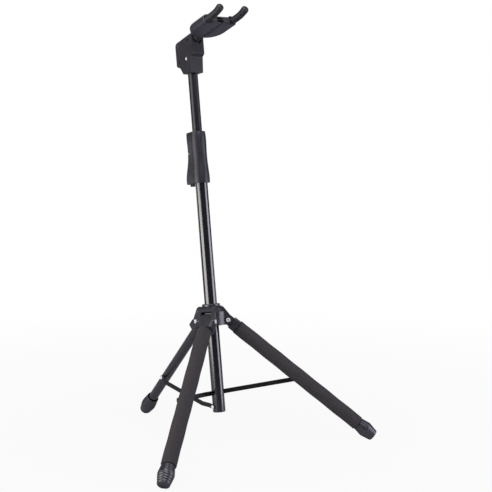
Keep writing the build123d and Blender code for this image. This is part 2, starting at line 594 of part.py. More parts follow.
def yoke_lever():
    stem = YOKE_FRAME * (forward_bar(STEM_R, STEM_BACK, SHELL_BACK - MOVE_GAP)
                         + forward_bar(SPIGOT_R, 0, clip_front + CLIP_THICK))
    bar_end = STEM_X + STEM_BACK + STEM_R
    top_end = STEM_Z + (bar_end - STEM_X) * tan(radians(YOKE_PITCH)) + LEVER_CROWN
    side_view = Polygon((LEVER_PIN_X, LEVER_FLOOR), (bar_end, LEVER_FLOOR),
                        (bar_end, top_end), (LEVER_PIN_X, LEVER_PIN_Z + LEVER_EYE_R), align=None)
    bar = slab(Pos(0, HEAD_BASE) * side_view, -LEVER_HALF_WIDTH, LEVER_HALF_WIDTH)
    eye = lever_axis * crossbar(LEVER_EYE_R, -LEVER_HALF_WIDTH, LEVER_HALF_WIDTH)
    hole = lever_axis * crossbar(LEVER_PIN_R + SHAFT_GAP, -HEAD_WIDTH, HEAD_WIDTH)
    groove = forward_bar(CLIP_R, clip_back, clip_front) - forward_bar(CLIP_BORE_R, clip_back, clip_front)
    return bar + eye + stem - hole - YOKE_FRAME * groove


parts["yoke_lever"] = yoke_lever()
clip = forward_bar(CLIP_R, clip_back, clip_front) - forward_bar(CLIP_BORE_R, clip_back, clip_front)
parts["stem_clip"] = YOKE_FRAME * clip

# Yoke: boat-shaped tub with a cover, open in front, where the two closing arms and their pads come out


def shell_plan(inset, front):
    """Plan of the yoke: round back, straight sides and a bowed front edge."""
    half, back = SHELL_HALF_WIDTH - inset, SHELL_BACK + inset
    back_r = SHELL_BACK_R - inset
    bow = ThreePointArc((front, -half), (front + SHELL_BOW, 0), (front, half))
    rear = [Line((front, half), (back + back_r, half)),
            RadiusArc((back + back_r, half), (back, half - back_r), -back_r),
            Line((back, half - back_r), (back, back_r - half)),
            RadiusArc((back, back_r - half), (back + back_r, -half), -back_r),
            Line((back + back_r, -half), (front, -half))]
    return make_face([bow] + rear)


def shell_layer(inset, front):
    """Rounded form on the yoke's plan, set in from its skin all round but not in front."""
    height = SHELL_HIGH - SHELL_LOW - 2 * inset
    body = Pos(0, 0, SHELL_LOW + inset) * extrude(shell_plan(inset, front), height)
    edges = [edge for edge in body.edges().filter_by(Plane.XY) if edge.center().X < front]
    return fillet(edges, SHELL_EDGE_R - inset)


def underside_recess():
    """Shallow slot in the underside with a row of cross ribs left standing."""
    depth = Pos(0, 0, SHELL_LOW) * Box(2 * RECESS_LENGTH, 2 * RECESS_WIDTH, 2 * RECESS_DEPTH)
    recess = extrude(SlotOverall(RECESS_LENGTH, RECESS_WIDTH), 2 * SHELL_LOW) & depth
    pitch = RECESS_LENGTH / (RECESS_RIBS + 1)
    for rib in range(RECESS_RIBS):
        offset = (rib - (RECESS_RIBS - 1) / 2) * pitch
        recess -= Pos(offset, 0, SHELL_LOW) * Box(RECESS_RIB_WIDTH, 2 * RECESS_WIDTH, 2 * RECESS_DEPTH)
    return Pos(RECESS_BACK + RECESS_LENGTH / 2, 0, 0) * recess


shell = shell_layer(0, SHELL_FRONT) - shell_layer(SHELL_WALL, SHELL_FRONT + 2 * SHELL_BOW)
seam = Plane.XY.offset(COVER_SEAM)
slit_start = SHELL_FRONT + SHELL_BOW - SLIT_LENGTH
slit = Pos(slit_start + SLIT_LENGTH, 0, SHELL_LOW) * Box(2 * SLIT_LENGTH, SLIT_WIDTH, 4 * SHELL_WALL)
neck_boss = forward_bar(NECK_BOSS_R, SHELL_BACK, SHELL_BACK + NECK_BOSS_LENGTH)
arm_pin_bars = [Pos(ARM_PIVOT_S, side * ARM_PIVOT_Y, 0)
                * upright(ARM_PIN_R, SHELL_LOW + ARM_PIN_SINK, SHELL_HIGH - ARM_PIN_SINK)
                for side in ARM_SIDES.values()]
tub = split(shell, bisect_by=seam, keep=Keep.BOTTOM) + neck_boss
tub -= forward_bar(SPIGOT_R + SHAFT_GAP, 0, SHELL_FRONT)
tub = tub - slit - underside_recess()
cover_plate = split(shell, bisect_by=seam, keep=Keep.TOP) - forward_bar(NECK_BOSS_R, 0, SHELL_FRONT)
bay_length = SHELL_FRONT + SHELL_BOW - COVER_FRONT
cover_plate -= Pos(COVER_FRONT + bay_length, 0, SHELL_HIGH) * Box(2 * bay_length, 2 * COVER_BAY, 2 * SHELL_HIGH)
for bar in arm_pin_bars:
    tub -= bar
    cover_plate -= bar
parts["yoke_tub"] = YOKE_FRAME * tub
parts["yoke_cover"] = YOKE_FRAME * cover_plate
parts["arm_pins"] = [YOKE_FRAME * bar for bar in arm_pin_bars]
arm_spring = coil(ARM_SPRING_R, ARM_SPRING_WIRE, ARM_SPRING_TURNS, 2 * (PAD_IN - MOVE_GAP))
parts["arm_spring"] = YOKE_FRAME * Pos(ARM_SPRING_S, PAD_IN - MOVE_GAP, 0) * Rot(90, 0, 0) * arm_spring


def arm_bar(radius, start):
    """Round bar on an arm's centre line: straight out of the mouth, then turned up to the tip."""
    rise = radians(ARM_RISE)
    middle = (ARM_BEND + ARM_BEND_R * sin(rise / 2), ARM_Y, ARM_BEND_R * (1 - cos(rise / 2)))
    tip = (ARM_BEND + ARM_BEND_R * sin(rise), ARM_Y, ARM_BEND_R * (1 - cos(rise)))
    curve = ThreePointArc((ARM_BEND, ARM_Y, 0), middle, tip)
    bent = sweep(Plane(origin=curve @ 0, z_dir=(1, 0, 0)) * Circle(radius), curve)
    return Pos(0, ARM_Y, 0) * forward_bar(radius, start, ARM_BEND) + bent, Pos(*tip)


def make_arm(name, side):
    rod, _ = arm_bar(ARM_ROD_R, ARM_PIVOT_S)
    sleeve, tip = arm_bar(ARM_SLEEVE_R, ARM_MOUTH)
    hub = Pos(ARM_PIVOT_S, ARM_PIVOT_Y, 0) * upright(ARM_HUB_R, -ARM_HUB_HALF, ARM_HUB_HALF)
    paddle = Polygon((ARM_PIVOT_S, ARM_PIVOT_Y - PADDLE_DEPTH), (PAD_BACK, PAD_IN + PADDLE_COVER),
                     (PAD_BACK + PADDLE_DEPTH, PAD_IN + PADDLE_COVER), (PAD_BACK + PADDLE_DEPTH, ARM_PIVOT_Y),
                     (ARM_PIVOT_S + PADDLE_DEPTH, ARM_Y), (ARM_PIVOT_S, ARM_Y), align=None)
    paddle = Pos(0, 0, -ARM_HUB_HALF) * extrude(paddle, 2 * ARM_HUB_HALF)
    core = hub + paddle + rod
    core -= Pos(ARM_PIVOT_S, ARM_PIVOT_Y, 0) * upright(ARM_PIN_R + SHAFT_GAP, -SHELL_HIGH, SHELL_HIGH)
    pad = Box(PAD_FRONT - PAD_BACK, PAD_OUT - PAD_IN, PAD_HIGH - PAD_LOW)
    pad = fillet(pad.edges().filter_by(Axis.Y), PAD_EDGE_R)
    pad = Pos((PAD_BACK + PAD_FRONT) / 2, (PAD_IN + PAD_OUT) / 2, (PAD_LOW + PAD_HIGH) / 2) * pad - core
    sleeve = sleeve + tip * Sphere(ARM_TIP_R) - core
    for piece, solid in (("arm", core), ("arm_sleeve", sleeve), ("arm_pad", pad)):
        parts[f"{piece}_{name}"] = YOKE_FRAME * (mirror(solid, Plane.XZ) if side < 0 else solid)


for arm_name, arm_side in ARM_SIDES.items():
    make_arm(arm_name, arm_side)

# Lean the stand back, cut the feet flat on the floor and centre it over the origin


def solids_of(item):
    """All solids of a piece, also where like pieces share a node."""
    items = item if isinstance(item, list) else [item]
    return [solid for shape in items for solid in shape.solids()]


STANDING = Pos(0, 0, HUB_HEIGHT) * Rot(0, -MAST_LEAN, 0)
standing = {name: [STANDING * solid for solid in solids_of(item)] for name, item in parts.items()}
floor = Box(*FLOOR_SIZE, align=(Align.CENTER, Align.CENTER, Align.MAX))
for leg_name in LEGS:
    standing[f"foot_{leg_name}"] = solids_of(standing[f"foot_{leg_name}"][0] - floor)
boxes = [solid.bounding_box() for group in standing.values() for solid in group]
CENTRE = Pos(-(min(box.min.X for box in boxes) + max(box.max.X for box in boxes)) / 2,
             -(min(box.min.Y for box in boxes) + max(box.max.Y for box in boxes)) / 2, 0)
PLACE = CENTRE * STANDING

os.makedirs("parts", exist_ok=True)
for name, group in standing.items():
    placed = [CENTRE * solid for solid in group]
    export_step(placed[0] if len(placed) == 1 else Compound(children=placed), f"parts/{name}.step")
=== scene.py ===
"""Finishes, foam, rubber and studio for a folding stand that hangs a guitar by its neck.

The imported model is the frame: every piece here sits in the same place, in metres, with +Z up.
"""
import json
import math

import bmesh
import bpy
import numpy as np
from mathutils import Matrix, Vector


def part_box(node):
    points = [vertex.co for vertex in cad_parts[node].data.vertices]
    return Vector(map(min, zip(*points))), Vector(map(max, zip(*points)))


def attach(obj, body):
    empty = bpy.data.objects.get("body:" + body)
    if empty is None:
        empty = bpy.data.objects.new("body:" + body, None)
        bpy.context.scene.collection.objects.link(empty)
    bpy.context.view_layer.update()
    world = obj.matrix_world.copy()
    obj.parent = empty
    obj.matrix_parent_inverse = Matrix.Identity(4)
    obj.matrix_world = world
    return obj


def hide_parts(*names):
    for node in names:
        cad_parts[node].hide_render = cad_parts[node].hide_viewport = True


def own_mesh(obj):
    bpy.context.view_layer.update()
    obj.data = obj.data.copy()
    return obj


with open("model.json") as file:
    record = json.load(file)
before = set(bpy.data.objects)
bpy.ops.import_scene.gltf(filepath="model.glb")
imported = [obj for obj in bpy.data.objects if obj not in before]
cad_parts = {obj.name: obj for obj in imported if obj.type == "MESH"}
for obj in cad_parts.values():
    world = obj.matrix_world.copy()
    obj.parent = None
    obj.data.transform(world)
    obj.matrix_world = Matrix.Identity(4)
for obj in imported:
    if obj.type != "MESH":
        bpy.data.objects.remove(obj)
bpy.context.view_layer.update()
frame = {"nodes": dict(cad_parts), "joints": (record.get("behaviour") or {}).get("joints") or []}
nodes = frame["nodes"]
joints = {joint["name"]: joint for joint in frame["joints"]}

# Mast, legs and inner tube. Drawn steel tube with a baked black coat, smooth enough to mirror the
# softboxes as long streaks. The inner tube slides in the mast, and its coat is a little more satin.

GRAIN_DETAIL = 4.0
CLOUD_DETAIL = 3.0
TONE_SPAN = (0.3, 0.7)            # range of the cloudy noise that takes a finish from dark to light
WELD_GAP = 1e-6
BEVEL_ANGLE = math.radians(40)    # edges sharper than this are rounded
BEVEL_SEGMENTS = 2
SPLIT_ANGLE = math.radians(32)    # edges sharper than this stay sharp in the shading
FLAT_WEIGHT = 100                 # how far large faces set the normals of small ones beside them


def link(tree, source, socket, target, name):
    """Joins an output of one node to an input of another, both by name."""
    tree.links.new(source.outputs[socket], target.inputs[name])


def map_range(tree, source, socket, span, levels):
    """Number that goes from the first to the second of levels while the source goes through span."""
    ramp = tree.nodes.new("ShaderNodeMapRange")
    for label, value in zip(("From Min", "From Max", "To Min", "To Max"), (*span, *levels)):
        ramp.inputs[label].default_value = value
    link(tree, source, socket, ramp, "Value")
    return ramp


def grain_group():
    """Node group of two noises on Object coordinates: Height is fine grain, Tone is a slow cloudy drift."""
    group = bpy.data.node_groups.new("fine_grain", "ShaderNodeTree")
    noises = (("Grain", "Height", GRAIN_DETAIL), ("Cloud", "Tone", CLOUD_DETAIL))
    for scale, result, _ in noises:
        group.interface.new_socket(scale, in_out="INPUT", socket_type="NodeSocketFloat")
        group.interface.new_socket(result, in_out="OUTPUT", socket_type="NodeSocketFloat")
    scales = group.nodes.new("NodeGroupInput")
    results = group.nodes.new("NodeGroupOutput")
    place = group.nodes.new("ShaderNodeTexCoord")
    for scale, result, detail in noises:
        noise = group.nodes.new("ShaderNodeTexNoise")
        noise.inputs["Detail"].default_value = detail
        link(group, place, "Object", noise, "Vector")
        link(group, scales, scale, noise, "Scale")
        link(group, noise, "Fac", results, result)
    return group


fine_grain = grain_group()


def finish(name, dark, light, rough, grain, cloud, bump, **constants):
    """Material whose colour and roughness drift between two values with the grain group's Tone.

    dark and light are the two colours and rough the two roughness values. grain and cloud are the scales
    of the noises, and bump is the grain's depth in metres. Further constants go on the shader's sockets.
    """
    material = bpy.data.materials.new(name)
    material.use_nodes = True
    tree = material.node_tree
    shader = tree.nodes["Principled BSDF"]
    for socket, value in constants.items():
        shader.inputs[socket.replace("_", " ")].default_value = value
    pattern = tree.nodes.new("ShaderNodeGroup")
    pattern.node_tree = fine_grain
    pattern.inputs["Grain"].default_value = grain
    pattern.inputs["Cloud"].default_value = cloud
    colour = tree.nodes.new("ShaderNodeValToRGB")
    for stop, tone, shade in zip(colour.color_ramp.elements, TONE_SPAN, (dark, light)):
        stop.position = tone
        stop.color = (*shade, 1)
    link(tree, pattern, "Tone", colour, "Fac")
    link(tree, colour, "Color", shader, "Base Color")
    roughness = map_range(tree, pattern, "Tone", TONE_SPAN, rough)
    link(tree, roughness, "Result", shader, "Roughness")
    relief = tree.nodes.new("ShaderNodeBump")
    relief.inputs["Distance"].default_value = bump
    link(tree, pattern, "Height", relief, "Height")
    link(tree, relief, "Normal", shader, "Normal")
    return material


def dress(material, *names, bevel=0.0):
    """Gives CAD nodes a material and smooth shading that breaks at their real edges, rounded by bevel."""
    for name in names:
        node = nodes[name]
        node.data.materials.clear()
        node.data.materials.append(material)
        node.data.shade_smooth()
        weld = node.modifiers.new("weld", "WELD")
        weld.merge_threshold = WELD_GAP
        if bevel:
            edge = node.modifiers.new("edge", "BEVEL")
            edge.width = bevel
            edge.segments = BEVEL_SEGMENTS
            edge.limit_method = "ANGLE"
            edge.angle_limit = BEVEL_ANGLE
        split = node.modifiers.new("split", "EDGE_SPLIT")
        split.split_angle = SPLIT_ANGLE
        flat = node.modifiers.new("flat", "WEIGHTED_NORMAL")
        flat.weight = FLAT_WEIGHT


lacquer = finish("tube_lacquer", dark=(0.005, 0.0052, 0.0068), light=(0.0075, 0.0078, 0.010),
                 rough=(0.17, 0.22), grain=260.0, cloud=9.0, bump=2e-6,
                 Specular_IOR_Level=1.0, Coat_Weight=1.0, Coat_Roughness=0.14)
dress(lacquer, "mast_tube", "leg_tube_front_left", "leg_tube_front_right", "leg_tube_rear")
satin = finish("inner_satin", dark=(0.007, 0.007, 0.009), light=(0.010, 0.010, 0.0125),
               rough=(0.26, 0.32), grain=260.0, cloud=9.0, bump=2e-6, Specular_IOR_Level=0.7)
dress(satin, "inner_tube")

# Hub and leg knuckles. Glass-filled nylon mouldings with a fine spark-eroded skin; the hub rides on the
# mast on a flanged bush, and the knuckles swing in its forks on bright tubular rivets.

moulding = finish("charcoal_moulding", dark=(0.028, 0.028, 0.033), light=(0.036, 0.036, 0.042),
                  rough=(0.25, 0.32), grain=1400.0, cloud=25.0, bump=6e-6, Specular_IOR_Level=0.85)
dress(moulding, "hub_body", "knuckle_front_left", "knuckle_front_right", "knuckle_rear", bevel=0.0006)
dress(moulding, "hub_bush", "brace_boss_front_left", "brace_boss_front_right", "brace_boss_rear", "mast_plug")
bright_steel = finish("bright_steel", dark=(0.84, 0.83, 0.82), light=(0.94, 0.93, 0.92),
                      rough=(0.40, 0.50), grain=2200.0, cloud=160.0, bump=4e-6, Metallic=0.2)
dress(bright_steel, "leg_pins", "mast_rivets", "brace_rivet_front_left", "brace_rivet_front_right",
      "brace_rivet_rear")

# Foam sleeves. Closed-cell foam tube pulled over each front leg, where the instrument's body leans;
# the cut ends are square with a soft edge, and the skin shows the foam's cells as a fine warm speckle.

KNUCKLE_LENGTH = 0.026            # leg pin to the upper end of tube and foam
TUBE_END = 0.010                  # rubber between the tube's end and the sole
FOAM_R = 0.016
FOAM_BORE_R = 0.011
FOAM_CUT = 0.045                  # lower end of the foam above the sole
FOAM_EDGE_R = 0.0022
FOAM_EDGE_STEPS = 8
FOAM_ROW = 0.0016                 # height of one row of faces
FOAM_SIDES = 96
SWELL_DEPTH = 0.00025             # slow unevenness of the skin
SWELL_RATE = 95.0                 # radians of its wave for each metre along the sleeve
SWELL_LEAN = 2.0                  # radians by which the wave leans to either side
MERGE_GAP = 1e-7


def leg_line(name):
    """Pin, unit direction down the leg, sideways direction and pin-to-sole length, read from the frame."""
    hinge = joints[f"leg_{name}_hinge"]
    pin = np.array(hinge["pos_m"])
    low, high = (np.array(corner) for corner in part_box(f"leg_tube_{name}"))
    middle = (low + high) / 2 - pin
    distance = np.linalg.norm(middle)
    return pin, middle / distance, np.array(hinge["axis"]), 2 * distance - KNUCKLE_LENGTH + TUBE_END


def skin(name, points, body, material, closed=True):
    """Mesh over a grid of points, wrapped round its second index and, where closed, round its first too.

    Rings that shrink to one point are merged into a pole, and the faces are turned outwards.
    """
    rows, columns = points.shape[:2]
    row, column = np.meshgrid(np.arange(rows if closed else rows - 1), np.arange(columns), indexing="ij")
    after = (row + 1) % rows
    beside = (column + 1) % columns
    quads = np.stack([row * columns + column, row * columns + beside, after * columns + beside,
                      after * columns + column], axis=-1).reshape(-1, 4)
    mesh = bpy.data.meshes.new(name)
    mesh.from_pydata(points.reshape(-1, 3).tolist(), [], quads.tolist())
    shape = bmesh.new()
    shape.from_mesh(mesh)
    bmesh.ops.remove_doubles(shape, verts=shape.verts, dist=MERGE_GAP)
    bmesh.ops.recalc_face_normals(shape, faces=shape.faces)
    shape.to_mesh(mesh)
    shape.free()
    mesh.shade_smooth()
    mesh.materials.append(material)
    piece = bpy.data.objects.new(name, mesh)
    bpy.context.scene.collection.objects.link(piece)
    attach(piece, body)
    return piece


def turned(origin, along, side, radius, height, angles):
    """Surface of revolution: origin + height * along + radius * (cos angle * side + sin angle * across).

    radius may be a column over the profile, or a grid over profile and angle where the form isn't round.
    """
    across = np.cross(along, side)
    ring = np.cos(angles)[:, None] * side + np.sin(angles)[:, None] * across
    radius = np.broadcast_to(radius, (len(height), len(angles)))
    return origin + height[:, None, None] * along + radius[:, :, None] * ring[None]


def rounded_corner(centre_r, centre_h, size, start, end, steps):
    """Round of a profile corner: radius and height on an arc between two angles in degrees."""
    turn = np.radians(np.linspace(start, end, steps))
    return np.stack([centre_r + size * np.cos(turn), centre_h + size * np.sin(turn)], axis=1)


def foam_profile(length):
    """Closed outline of radius and height: upper rim, outer skin, lower rim, cut ends and the bore."""
    rows = int(length / FOAM_ROW)
    skin_line = np.linspace(length - FOAM_EDGE_R, FOAM_EDGE_R, rows)[1:-1]
    outer = np.stack([np.full(rows - 2, FOAM_R), skin_line], axis=1)
    rim_r = FOAM_R - FOAM_EDGE_R
    upper = rounded_corner(rim_r, length - FOAM_EDGE_R, FOAM_EDGE_R, 90, 0, FOAM_EDGE_STEPS)
    lower = rounded_corner(rim_r, FOAM_EDGE_R, FOAM_EDGE_R, 0, -90, FOAM_EDGE_STEPS)
    bore = np.array([[FOAM_BORE_R, 0.0], [FOAM_BORE_R, length]])
    return np.concatenate([upper, outer, lower, bore])


foam = finish("foam_skin", dark=(0.042, 0.038, 0.040), light=(0.062, 0.0565, 0.059),
              rough=(0.85, 0.97), grain=1500.0, cloud=900.0, bump=2.5e-4, Specular_IOR_Level=0.25)
foam_angles = np.linspace(0, 2 * np.pi, FOAM_SIDES, endpoint=False)
for leg in ("front_left", "front_right"):
    pin, down, side, length = leg_line(leg)
    profile = foam_profile(length - FOAM_CUT - KNUCKLE_LENGTH)
    radius = profile[:, :1]
    height = profile[:, 1]
    wave = np.sin(height[:, None] * SWELL_RATE + SWELL_LEAN * np.sin(foam_angles))
    swell = SWELL_DEPTH * wave * (radius > FOAM_BORE_R)
    points = turned(pin + down * (length - FOAM_CUT), -down, side, radius + swell, height, foam_angles)
    sleeve = skin(f"foam_sleeve_{leg}", points, f"leg_{leg}", foam)
    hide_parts(f"foam_{leg}")

# Feet. Injection-moulded rubber caps pushed over the tube ends: barrel-shaped, with rings of grip ribs
# on the lower half of the front pair, and a plain bullet with an open rim at the rear.

FRONT_FOOT = (0.044, 0.0002)      # length, and gap between the rim and the tube
REAR_FOOT = (0.054, 0.0022)
SOLE_R = 0.0128
SOLE_STEPS = 8
SOLE_EDGE_R = 0.003
SOLE_EDGE_STEPS = 10
BELLY_R = 0.0178
BELLY_HEIGHT = 0.024
BELLY_SOFT = 0.0007               # how softly the barrel turns at its belly
BARREL_ROWS = 150
RIM_R = 0.0142
RIM_EDGE = 0.0006
RIM_STEPS = 6
RIM_DEPTH = 0.009
LEG_R = 0.011
RIB_DEPTH = 0.0007
RIB_PITCH = 0.0052
RIB_POWER = 0.5                   # under 1 the ribs are broad and the valleys narrow
RIB_START = 0.0022
RIB_END = 0.0230
FOOT_SIDES = 120


def foot_profile(length, rim_gap):
    """Outline from the middle of the sole round the barrel and rim and down into the bore.

    The barrel is the soft minimum of a widening and a narrowing line, -s * log(exp(-a / s) + exp(-b / s));
    rim_gap opens the bore's mouth.
    """
    height = np.linspace(SOLE_EDGE_R, length - RIM_EDGE, BARREL_ROWS)
    widening = SOLE_R + (BELLY_R - SOLE_R) * height / BELLY_HEIGHT
    narrowing = BELLY_R - (BELLY_R - RIM_R) * (height - BELLY_HEIGHT) / (length - BELLY_HEIGHT)
    barrel = -BELLY_SOFT * np.log(np.exp(-widening / BELLY_SOFT) + np.exp(-narrowing / BELLY_SOFT))
    edge = rounded_corner(barrel[0] - SOLE_EDGE_R, SOLE_EDGE_R, SOLE_EDGE_R, -90, 0, SOLE_EDGE_STEPS)[:-1]
    sole_line = np.linspace(0, edge[0, 0], SOLE_STEPS)[:-1]
    sole = np.stack([sole_line, np.zeros_like(sole_line)], axis=1)
    rim = rounded_corner(barrel[-1] - RIM_EDGE, length - RIM_EDGE, RIM_EDGE, 0, 90, RIM_STEPS)[1:]
    mouth_r = LEG_R + rim_gap
    floor_height = length - RIM_DEPTH
    mouth = np.array([[mouth_r, length - RIM_EDGE / 2], [mouth_r, length - RIM_DEPTH / 2],
                      [LEG_R, floor_height], [0.0, floor_height]])
    return np.concatenate([sole, edge, np.stack([barrel, height], axis=1), rim, mouth])


def ribs(height):
    """Depth of the grooves between the grip ribs: 1 - |sin| to a power under 1, so the valleys are narrow."""
    wave = 1 - np.abs(np.sin(np.pi * (height - RIB_START) / RIB_PITCH)) ** RIB_POWER
    return RIB_DEPTH * wave * ((height > RIB_START) & (height < RIB_END))


rubber = finish("foot_rubber", dark=(0.030, 0.030, 0.037), light=(0.038, 0.038, 0.046),
                rough=(0.25, 0.31), grain=1100.0, cloud=40.0, bump=4e-6, Specular_IOR_Level=0.9)
foot_angles = np.linspace(0, 2 * np.pi, FOOT_SIDES, endpoint=False)
for leg, (foot_length, rim_gap) in (("front_left", FRONT_FOOT), ("front_right", FRONT_FOOT),
                                    ("rear", REAR_FOOT)):
    pin, down, side, length = leg_line(leg)
    profile = foot_profile(foot_length, rim_gap)
    radius = profile[:, :1]
    height = profile[:, 1]
    if leg != "rear":
        radius = radius - (ribs(height) * (profile[:, 0] > LEG_R))[:, None]
    points = turned(pin + down * length, -down, side, radius, height, foot_angles)
    points[:, :, 2] = np.maximum(points[:, :, 2], 0)    # the sole wears flat on the floor
    foot = skin(f"rubber_foot_{leg}", points, f"leg_{leg}", rubber, closed=False)
    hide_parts(f"foot_{leg}")

# Braces. Flat steel straps, stamped and joggled near the mast, that hold the legs apart. They are painted
# satin black and turn on rivets at both ends.

enamel = finish("strap_enamel", dark=(0.008, 0.008, 0.009), light=(0.013, 0.013, 0.0145),
                rough=(0.28, 0.4), grain=700.0, cloud=30.0, bump=8e-6, Specular_IOR_Level=0.4)
dress(enamel, "brace_front_left", "brace_front_right", "brace_rear", bevel=0.0003)

# Clutch grip and trigger. Soft-touch moulding over the clutch core, with the squeeze trigger let into
# its rear; the core and collet inside are bare mouldings, and a short coil spring pushes the trigger out.

WIRE_SIDES = 10
WIRE_STEPS = 40                   # rings of wire in each turn of a spring
TRIGGER_SPRING_LENGTH = 0.0042
TRIGGER_SPRING_R = 0.0032
TRIGGER_SPRING_WIRE_R = 0.0005
TRIGGER_SPRING_TURNS = 3

mast_up = np.array(joints["height_slide"]["axis"])
mast_ahead = np.cross((0, 1, 0), mast_up)


def wound_spring(node, axis, length, coil_r, wire_r, turns, body, material):
    """Coil spring in the place of a CAD node: round wire carried along a helix, with both ends closed.

    The helix is middle + rise * axis + coil_r * outward, where outward turns evenly round the axis while
    rise grows evenly.
    """
    low, high = (np.array(end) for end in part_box(node))
    middle = (low + high) / 2
    side = np.cross(axis, (1, 0, 0))
    side = side / np.linalg.norm(side)
    turn = np.linspace(0, 2 * np.pi * turns, WIRE_STEPS * turns + 1)
    outward = np.cos(turn)[:, None] * side + np.sin(turn)[:, None] * np.cross(axis, side)
    rise = (length - 2 * wire_r) * (turn / turn[-1] - 0.5)
    line = middle + rise[:, None] * axis + coil_r * outward
    around = np.linspace(0, 2 * np.pi, WIRE_SIDES, endpoint=False)
    wire = line[:, None] + wire_r * (np.cos(around)[None, :, None] * outward[:, None]
                                     + np.sin(around)[None, :, None] * axis)
    ends = np.repeat(line[[0, -1], None], WIRE_SIDES, axis=1)
    points = np.concatenate([ends[:1], wire, ends[1:]])
    spring = skin(f"wound_{node}", points, body, material, closed=False)
    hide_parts(node)
    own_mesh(spring)


soft_touch = finish("soft_touch_grip", dark=(0.024, 0.024, 0.030), light=(0.030, 0.030, 0.037),
                    rough=(0.33, 0.39), grain=1800.0, cloud=18.0, bump=6e-6, Specular_IOR_Level=0.5)
dress(soft_touch, "grip", "trigger", bevel=0.0006)
dress(moulding, "clutch_core", "clutch_collet", "inner_guide")
dress(bright_steel, "trigger_pin")
wound_spring("trigger_spring", -mast_ahead, TRIGGER_SPRING_LENGTH, TRIGGER_SPRING_R,
             TRIGGER_SPRING_WIRE_R, TRIGGER_SPRING_TURNS, body="mast", material=bright_steel)

# Head block. Two-part moulding bolted on the inner tube: a housing with a stepped front and a snap-on
# side cover. The lever turns on a browned pin at its rear, and a spring on the tube's end lifts it.

LEVER_SPRING_LENGTH = 0.0126
LEVER_SPRING_R = 0.006
LEVER_SPRING_WIRE_R = 0.0009
LEVER_SPRING_TURNS = 4

cover_skin = finish("head_moulding", dark=(0.025, 0.0242, 0.028), light=(0.032, 0.031, 0.036),
                    rough=(0.34, 0.42), grain=1600.0, cloud=30.0, bump=8e-6, Specular_IOR_Level=0.5)
dress(cover_skin, "head_cover", bevel=0.0006)
# The housing takes a darker copy of the cover's moulding: painted shade, so that its stepped front reads
# darker than the side cover.
shaded_block_skin = finish("head_block_painted_shade", dark=(0.016, 0.016, 0.0205), light=(0.021, 0.021, 0.0265),
                    rough=(0.34, 0.42), grain=1600.0, cloud=30.0, bump=6e-6, Specular_IOR_Level=0.5)
dress(shaded_block_skin, "head_housing", bevel=0.0012)
dress(bright_steel, "head_bolt", "head_nut")
browned = finish("browned_pin", dark=(0.13, 0.105, 0.095), light=(0.19, 0.155, 0.14),
                 rough=(0.40, 0.50), grain=2200.0, cloud=160.0, bump=4e-6, Metallic=0.2)
dress(browned, "lever_pin")
wound_spring("lever_spring", mast_up, LEVER_SPRING_LENGTH, LEVER_SPRING_R, LEVER_SPRING_WIRE_R,
             LEVER_SPRING_TURNS, body="inner", material=bright_steel)

# Lever and stem. Charcoal moulding that rocks in the head and carries the yoke on its round stem;
# a steel clip snapped on the end of the stem keeps the yoke from sliding off.

dress(moulding, "yoke_lever", bevel=0.0004)
dress(bright_steel, "stem_clip")

# Yoke shell. Boat-shaped tub with a cover plate, both charcoal mouldings with a slightly brighter skin.
# The arms turn on pins in it, and a blackened spring between their paddles pushes them apart.

ARM_SPRING_LENGTH = 0.0152
ARM_SPRING_R = 0.003
ARM_SPRING_WIRE_R = 0.0006
ARM_SPRING_TURNS = 6

swivel = joints["yoke_swivel"]
yoke_origin = np.array(swivel["pos_m"])
yoke_ahead = np.array(swivel["axis"])
yoke_up = np.array(joints["arm_left_close"]["axis"])
yoke_right = np.cross(yoke_up, yoke_ahead)

shell_skin = finish("yoke_moulding", dark=(0.029, 0.029, 0.0375), light=(0.036, 0.036, 0.046),
                    rough=(0.30, 0.38), grain=1500.0, cloud=22.0, bump=6e-6, Specular_IOR_Level=0.7)
dress(shell_skin, "yoke_tub", "yoke_cover", bevel=0.0004)
dress(moulding, "arm_left", "arm_right")
dress(bright_steel, "arm_pins")
dark_wire = finish("dark_spring_wire", dark=(0.02, 0.02, 0.022), light=(0.04, 0.04, 0.044),
                   rough=(0.3, 0.45), grain=900.0, cloud=60.0, bump=1e-5, Metallic=0.6)
wound_spring("arm_spring", yoke_right, ARM_SPRING_LENGTH, ARM_SPRING_R, ARM_SPRING_WIRE_R,
             ARM_SPRING_TURNS, body="yoke", material=dark_wire)

# Arm sleeves. Ribbed rubber hoses pulled over the arm cores, with a smooth round end moulded on.
# The fine ribs keep a tuning head from sliding along the arms.

ARM_Y = 0.033                     # arm's middle line beside the yoke's
ARM_MOUTH = 0.085
ARM_BEND = 0.110                  # start of the upward bend
ARM_BEND_R = 0.085
ARM_RISE = math.radians(19.5)
MOUTH_R = 0.0072
SLEEVE_R = 0.0079
SLEEVE_ROWS = 320
SLEEVE_SIDES = 48
SLEEVE_TIP = 0.010                # smooth length before the round end
SLEEVE_RIB_PITCH = 0.0021
SLEEVE_RIB_DEPTH = 0.0004
TIP_R = 0.0083
TIP_ROUND = 0.0062                # length of the blunt round end
TIP_ROWS = 14
TIP_POWER = 0.8                   # under 1 the end is blunter than a half ball


def sleeve_line(distance):
    """Place and turn of an arm's middle line: straight to the bend, then an upward arc, then straight on."""
    turn = np.clip((distance - ARM_BEND) / ARM_BEND_R, 0, ARM_RISE)
    past = np.maximum(distance - ARM_BEND - ARM_BEND_R * ARM_RISE, 0)
    ahead = np.minimum(distance, ARM_BEND) + ARM_BEND_R * np.sin(turn) + past * np.cos(turn)
    up = ARM_BEND_R * (1 - np.cos(turn)) + past * np.sin(turn)
    return ahead, up, turn


